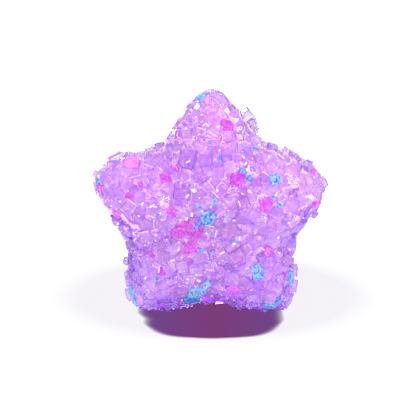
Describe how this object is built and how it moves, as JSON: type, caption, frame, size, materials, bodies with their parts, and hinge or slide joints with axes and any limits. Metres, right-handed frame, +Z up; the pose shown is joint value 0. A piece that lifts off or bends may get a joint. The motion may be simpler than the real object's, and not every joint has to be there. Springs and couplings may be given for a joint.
{
  "type": "sugar-coated gummy candy",
  "caption": "Fat star-shaped gummy sweet with rounded points, crusted all over with coarse lavender sugar crystals, standing on its two lower points.",
  "frame": {"origin": "on the ground under the middle of the sweet", "axes": "+Z up through the upright point, +X across the star, and the face shown in the picture looks along -Y"},
  "size_m": [0.0305, 0.0136, 0.0291],
  "materials": {
    "sugared_jelly": "translucent lavender jelly under a coarse sugar crust",
    "lavender_sugar": "clear to lavender sugar crystals, sharp-edged and glittering",
    "pink_sugar": "dyed pink sugar crystals, translucent",
    "blue_sugar": "dyed sky-blue sugar crystals, translucent"
  },
  "bodies": {
    "root": {"gummy_star": "sugared_jelly"}
  },
  "joints": []
}
